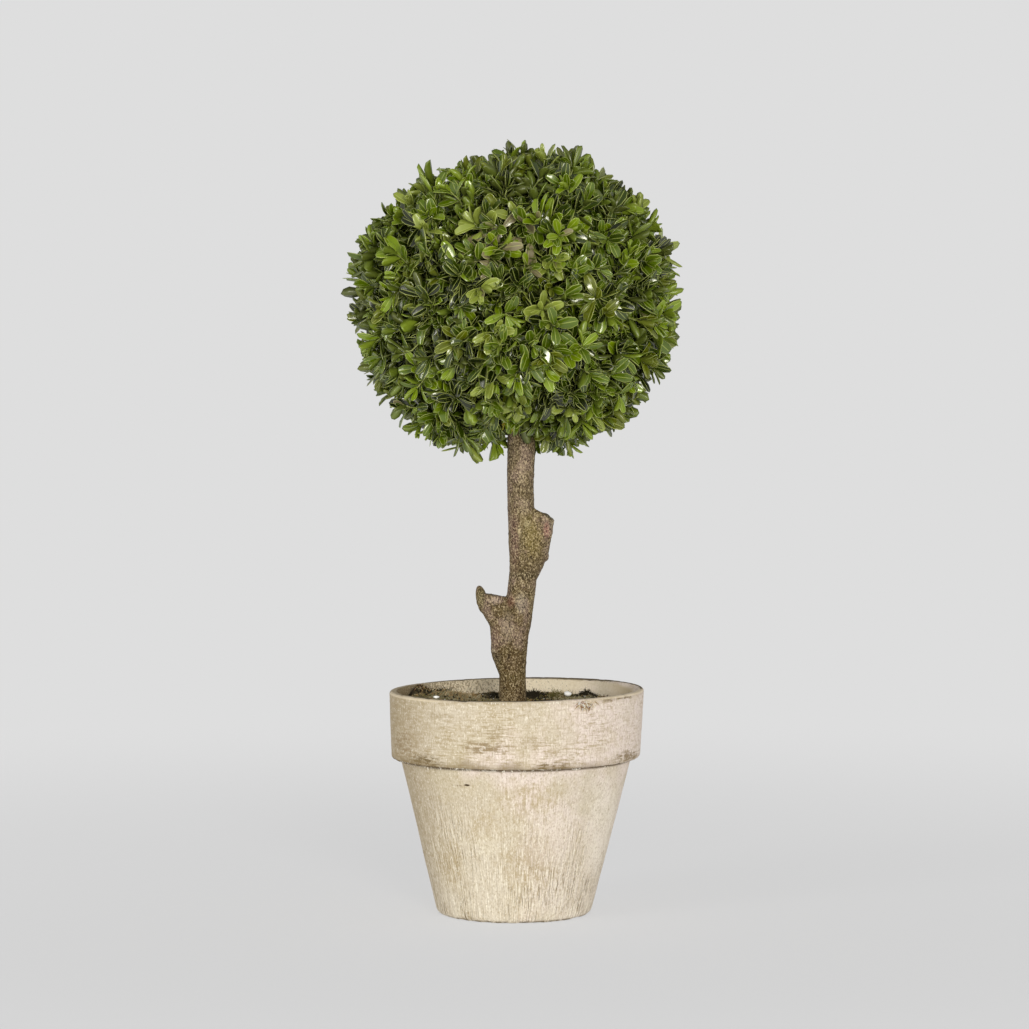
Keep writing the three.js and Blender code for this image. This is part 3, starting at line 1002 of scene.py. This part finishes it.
# Each level of growth: name, how many limbs, how far out they reach, how much they wander, their
# radius in millimetres at the foot and the tip, sides and rings.
LEVELS = [
    ("boughs", 16, 0.4, 0.2, (3.4, 2.1), 8, 8),
    ("twigs", 120, 0.66, 0.25, (1.7, 1.0), 6, 7),
    ("sprigs", 1120, 0.822, 0.8, (0.85, 0.5), 4, 6),
]
# Pairs of leaves on a sprig: distance from its tip, degrees between leaf and sprig, and length.
TIERS = [
    (0.0, 16, 11.5),
    (2.4, 32, 16.6),
    (5.6, 46, 19.6),
    (9.8, 55, 20.6),
    (14.8, 61, 20.2),
    (20.6, 65, 19.2),
    (27.0, 68, 18.0),
]
# Where the clipped ball stands proud or is cut in: degrees round the outline from the right,
# degrees towards the front, how far as a share, and how wide in radians.
BULGES = [
    (14, 0, -0.04, 0.2),
    (33, 0, -0.075, 0.1),
    (52, 0, -0.05, 0.3),
    (82, 0, -0.028, 0.12),
    (108, 0, -0.1, 0.24),
    (122, 0, -0.06, 0.1),
    (139, 0, 0.15, 0.14),
    (162, 6, 0.01, 0.3),
    (198, 0, -0.06, 0.12),
    (217, 0, 0.036, 0.3),
    (238, 0, 0.065, 0.2),
    (272, 0, -0.15, 0.18),
    (273, 17, -0.14, 0.19),
    (273, 32, -0.07, 0.19),
    (301, 0, 0.11, 0.15),
    (330, 0, -0.078, 0.16),
    (350, 0, 0.03, 0.12),
]
# The outline of a leaf: how far along, and the half width there as a share of the largest.
LEAF_ROWS = [(0.11, 0.24), (0.37, 0.8), (0.66, 1.0), (0.91, 0.66)]
LEAF_COLUMNS = (-1.0, -0.86, -0.07, 0.07, 0.86, 1.0)
# Part of the leaf from each column to the next, and then round its underside, as an index in LEAF_PARTS.
LEAF_STRIPS = [2, 0, 1, 0, 2, 3, 3]
LEAF_THICKNESS = 0.3 * MM
PIECE_OF_LEAVES = 3000

# Tints of the leaves: name, colour and share of the sprays.
TINTS = [
    ("fresh", (116, 138, 11), 0.23),
    ("mid", (79, 99, 2), 0.34),
    ("deep", (47, 62, 0), 0.22),
    ("olive", (92, 100, 8), 0.12),
    ("dark", (22, 31, 0), 0.05),
    ("pale", (134, 146, 56), 0.06),
    ("faded", (130, 120, 88), 0.0),
    ("yellowed", (172, 156, 52), 0.0),
]
DEEPER = {0: 1, 1: 2, 3: 1, 2: 4}  # the tint that a leaf turns to once it is older; on leaves further in it is also painted shade
OLDER_AND_SHADED = [(0, 0.18), (3, 0.5), (4, 0.7), (5, 1.0)]  # from which tier, and the share that turns deeper, as older leaves and as painted shade further in
# Places where some leaves have turned: tint, direction, how wide the place is, and their share there.
TURNED = [("faded", (-0.06, -0.93, 0.36), 0.2, 0.3), ("yellowed", (-0.06, -0.3, -0.95), 0.1, 0.3)]
# Parts of a leaf: name, the colour that its tint is mixed with, how much of it, and roughness.
LEAF_PARTS = [
    ("blade", (0, 0, 0), 0.0, 0.22),
    ("rib", (196, 206, 110), 0.46, 0.24),
    # The margin is paler: partly the leaf's own pale edge, partly a painted highlight along it.
    ("margin", (196, 204, 110), 0.52, 0.26),
    ("underside", (134, 144, 60), 0.34, 0.36),
]
SHEEN = srgb(254, 254, 240)  # of the light that a leaf throws back


def spread_directions(count, jitter, chance):
    """Directions spread evenly over a sphere, each moved a little at random."""
    rank = np.arange(count) + 0.5
    height = 1 - 2 * rank / count
    even = np.column_stack([spokes(rank * GOLDEN_ANGLE) * np.sqrt(1 - height**2)[:, None], height])
    return unit(even + chance.normal(0, jitter / math.sqrt(count), (count, 3)))


def angle_between(directions, towards):
    return np.arccos(np.clip(directions @ unit(np.array(towards)), -1, 1))


def first_feet(targets):
    """Where the main boughs leave the stem: lower down for the ones that reach low."""
    path, _ = through(STEM, 400)
    outward = norm((targets - BALL_CENTRE)[:, :2], axis=1)
    level = np.clip(targets[:, 2] - 0.75 * outward, BOUGHS_FROM, BOUGHS_TO)
    nearest = np.abs(path[:, 2] - level[:, None]).argmin(axis=1)
    return path[nearest], np.tile(UP, (len(targets), 1))


def feet_on(parents, targets, chance):
    """Where limbs of the next level leave the nearest parents."""
    nearest = norm(targets[:, None] - parents[:, 3], axis=2).argmin(axis=1)
    at = chance.uniform(0.55, 1.0, len(targets))[:, None]
    return bezier(parents[nearest], at)[:, 0], bezier_direction(parents[nearest], at)[:, 0]


def grow(count, reach, wander, parents, chance):
    """Curves of one level of limbs, as Bezier knots (limbs, 4, 3)."""
    out = spread_directions(count, 0.9, chance)
    out = out[angle_between(out, -UP) > CLEAR_OF_STEM]
    reach = reach + chance.uniform(-1, 1, len(out)) * UNEVEN + 0.02 * noise(out, 0.5, 41)
    for turn, forward, amount, width in BULGES:
        (across, up), (level, front) = spokes(np.radians([turn, forward]))
        reach += amount * hump(angle_between(out, (across * level, -front, up * level)) / width)
    targets = BALL_CENTRE + out * BALL_RADII * reach[:, None]
    feet, heading = first_feet(targets) if parents is None else feet_on(parents, targets, chance)
    straight = unit(targets - feet)
    shift = 0.36 * norm(targets - feet, axis=1)[:, None]
    sway = chance.normal(0, wander, out.shape)
    leaving = unit(straight + 0.6 * heading + 0.5 * sway)
    arriving = unit(0.6 * straight + 0.7 * out + sway)
    return np.stack([feet, feet + leaving * shift, targets - arriving * shift, targets], axis=1)


def leaf_pairs(knots, chance):
    """Foot, direction, upper side and length of every leaf, and which sprig and tier it is on."""
    count = len(knots)
    span = norm(knots[:, 3] - knots[:, 0], axis=1)
    first_turn = chance.uniform(0, math.pi, count)
    vigour = chance.uniform(0.86, 1.1, count)
    leaves = []
    for tier, (back, spread, length) in enumerate(TIERS):
        at = np.clip(1 - back * MM / span, 0.02, 1)[:, None]
        foot = bezier(knots, at)[:, 0]
        axis = bezier_direction(knots, at)[:, 0]
        side = unit(np.cross(axis, UP + 0.01))
        other = np.cross(axis, side)
        for half in (0, 1):
            turn = first_turn + tier * math.pi / 2 + half * math.pi + chance.normal(0, 0.75, count)
            away = side * np.cos(turn)[:, None] + other * np.sin(turn)[:, None]
            angle = np.radians(spread + chance.normal(0, 20, count))[:, None]
            heading = np.cos(angle) * axis + np.sin(angle) * away
            upper = np.sin(angle) * axis - np.cos(angle) * away
            roll = chance.normal(0, 0.6, count)[:, None]
            upper = upper * np.cos(roll) + np.cross(heading, upper) * np.sin(roll)
            size = length * MM * vigour * chance.uniform(0.82, 1.14, count)
            leaves.append((foot, heading, upper, size, np.arange(count), np.full(count, tier)))
    return [np.concatenate(column) for column in zip(*leaves)]


def leaf_points(foot, heading, upper, size, chance):
    """Corners of many leaves, curved along and folded across, as rings with a foot and a tip."""
    count = len(foot)
    heading, upper = heading[:, None], upper[:, None]
    curl = chance.normal(0.15, 0.32, count)[:, None]
    curl = np.where(np.abs(curl) < 0.02, 0.02, curl)
    bend = curl * np.array([along for along, _ in LEAF_ROWS] + [0.0, 1.0])
    rise, run = (1 - np.cos(bend)) / curl, np.sin(bend) / curl
    forward = heading * run[..., None] - upper * rise[..., None]
    spine = foot[:, None] + forward * size[:, None, None]
    lift = upper * np.cos(bend)[..., None] + heading * np.sin(bend)[..., None]
    across = np.cross(heading, upper)[:, 0]
    half = size * chance.uniform(0.175, 0.235, count)
    fold = np.abs(chance.normal(0.36, 0.22, count))
    heights = {1.0: fold - 0.1, 0.86: fold * 0.86, 0.07: fold * 0.05 - 0.03}
    corners = []
    for row, (_, share) in enumerate(LEAF_ROWS):
        reach = (half * share)[:, None]
        for column in LEAF_COLUMNS:
            height = heights[abs(column)][:, None]
            corners.append(spine[:, row] + across * reach * column + lift[:, row] * reach * height)
        corners.append(spine[:, row] - lift[:, row] * LEAF_THICKNESS)
    return np.stack(corners + [spine[:, -2], spine[:, -1]], axis=1)


def leaf_materials(name, colour):
    """Plain glossy materials of one tint, one for each part of a leaf."""
    made = []
    for part, other, share, roughness in LEAF_PARTS:
        finish = Finish(f"leaf_{name}_{part}", Specular_IOR_Level=0.8, Specular_Tint=SHEEN)
        shade = mixed(srgb(*colour), srgb(*other), share)
        made.append(finish.done(Base_Color=shade, Roughness=roughness))
    return made


def leaf_tints(foot, sprig, tier, sprigs, chance):
    """Which tint each leaf has: its spray's, a deeper one further in, for older leaves and as painted shade,
    or faded.
    """
    names, _, shares = zip(*TINTS)
    tint = chance.choice(len(TINTS), sprigs, p=np.array(shares) / sum(shares))[sprig]
    for from_tier, share in OLDER_AND_SHADED:
        aged_and_shaded = (tier >= from_tier) & (chance.uniform(0, 1, len(tint)) < share)
        tint = np.where(aged_and_shaded, [DEEPER.get(t, t) for t in tint], tint)
    out = unit(foot - BALL_CENTRE)
    for name, towards, width, most in TURNED:
        share = 0.0005 + most * hump(angle_between(out, towards) / width)
        tint = np.where(chance.uniform(0, 1, len(tint)) < share, names.index(name), tint)
    return tint


def foliage(sprigs, chance):
    """Leaves of all sprigs, in pieces of one tint."""
    foot, heading, upper, size, sprig, tier = leaf_pairs(sprigs, chance)
    tint = leaf_tints(foot, sprig, tier, len(sprigs), chance)
    corners = leaf_points(foot, heading, upper, size, chance)
    faces = ring_faces(len(LEAF_ROWS), len(LEAF_STRIPS))
    kinds = LEAF_STRIPS * (len(LEAF_ROWS) + 1)
    stands_for = ["leaf_ball"]
    for number, (name, colour, _) in enumerate(TINTS):
        materials = leaf_materials(name, colour)
        chosen = corners[tint == number]
        for start in range(0, len(chosen), PIECE_OF_LEAVES):
            part = chosen[start : start + PIECE_OF_LEAVES]
            label = f"leaves_{name}_{start // PIECE_OF_LEAVES + 1}"
            piece_of(label, *repeated(part, faces), materials, "foliage", stands_for, kinds * len(part))
            stands_for = []


def wood_material(name, colour, other):
    wood = Finish(name, Roughness=0.75, Specular_IOR_Level=0.3)
    grain = wood.noise(300, 3, 0.6)
    return wood.done(Base_Color=wood.blend(wood.band(grain, 0.4, 0.6), srgb(*colour), srgb(*other)))


def crown():
    chance = np.random.default_rng(7)
    brown = wood_material("young_bark", (104, 90, 62), (136, 122, 88))
    green = wood_material("green_shoot", (126, 134, 66), (152, 158, 92))
    knots = None
    for name, count, reach, wander, (thick, thin), sides, rings in LEVELS:
        knots = grow(count, reach, wander, knots, chance)
        at = np.tile(np.linspace(0, 1, rings), (len(knots), 1))
        radii = (thick + (thin - thick) * at) * MM
        wood = green if name == "sprigs" else brown
        piece_of(name, *tubes(bezier(knots, at), radii, sides), [wood], "bark")
    foliage(knots, chance)


# ---- Stage: floor, world and lights ----

FLOOR_HALF = 14.0
BACKDROP = srgb(222, 222, 222)
OVERHEAD = srgb(140, 140, 142)
FLOOR_IN_FRONT = srgb(213, 213, 214)
FLOOR_BEHIND = srgb(238, 238, 239)
# Lights: name, place, what they point at, size, power and colour.
LIGHTS = [
    ("key", (0.62, -2.95, 0.7), (0, 0, 0.35), 0.9, 49, (1.0, 0.985, 0.95)),
    ("left", (-2.0, -1.7, 0.8), (0, 0, 0.35), 0.9, 18, (1.0, 0.99, 0.97)),
]


def make_floor():
    """Pale paper that is half clear near the plant and fades away further out, painted lighter behind the
    plant, where less light reaches it.
    """
    mesh = bpy.data.meshes.new("floor")
    corners = [(x * FLOOR_HALF, y * FLOOR_HALF, 0) for x, y in ((-1, -1), (1, -1), (1, 1), (-1, 1))]
    mesh.from_pydata(corners, [], [(0, 1, 2, 3)])
    paper = Finish("paper", Roughness=1.0, Specular_IOR_Level=0.0)
    # Painted light: the paper is lighter behind the plant.
    behind = paper.band(paper.split(paper.place)["Y"], -0.5, 0.3)
    paper.done(Base_Color=paper.blend(behind, FLOOR_IN_FRONT, FLOOR_BEHIND))
    clear = paper.add("BsdfTransparent").outputs[0]
    far = paper.band(paper.vector_math("LENGTH", paper.place), 0.25, 1.5, 0.72, 1.0)
    surface = paper.add("MixShader", {0: far, 1: paper.shader.outputs[0], 2: clear}).outputs[0]
    paper.feed(paper.tree.nodes["Material Output"].inputs["Surface"], surface)
    mesh.materials.append(paper.material)
    in_scene("floor", mesh)


def make_light(name, place, aim, size, power, colour):
    data = bpy.data.lights.new(name, "AREA")
    data.shape = "DISK"
    data.size = size
    data.energy = power
    data.color = colour
    aimed(name, data, place, aim)


def make_world():
    world = bpy.data.worlds.new("studio")
    sky = Nodes(world)
    height = sky.split(sky.add("TexCoord").outputs["Generated"])["Z"]
    share = sky.add("MapRange", {"Value": height, "From Min": 0.25, "From Max": 0.8}).outputs["Result"]
    sky.feed(sky.tree.nodes["Background"].inputs["Color"], sky.blend(share, BACKDROP, OVERHEAD))
    bpy.context.scene.world = world


# ---- Everything together ----

make_camera()
flowerpot(Whitewash().finished())
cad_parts["soil_fill"].data.materials.clear()
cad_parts["soil_fill"].data.materials.append(soil_material())
moss_and_litter()
stem_and_boughs(bark_material())
crown()
make_world()
make_floor()
for light in LIGHTS:
    make_light(*light)
bpy.context.scene.view_settings.view_transform = "Standard"
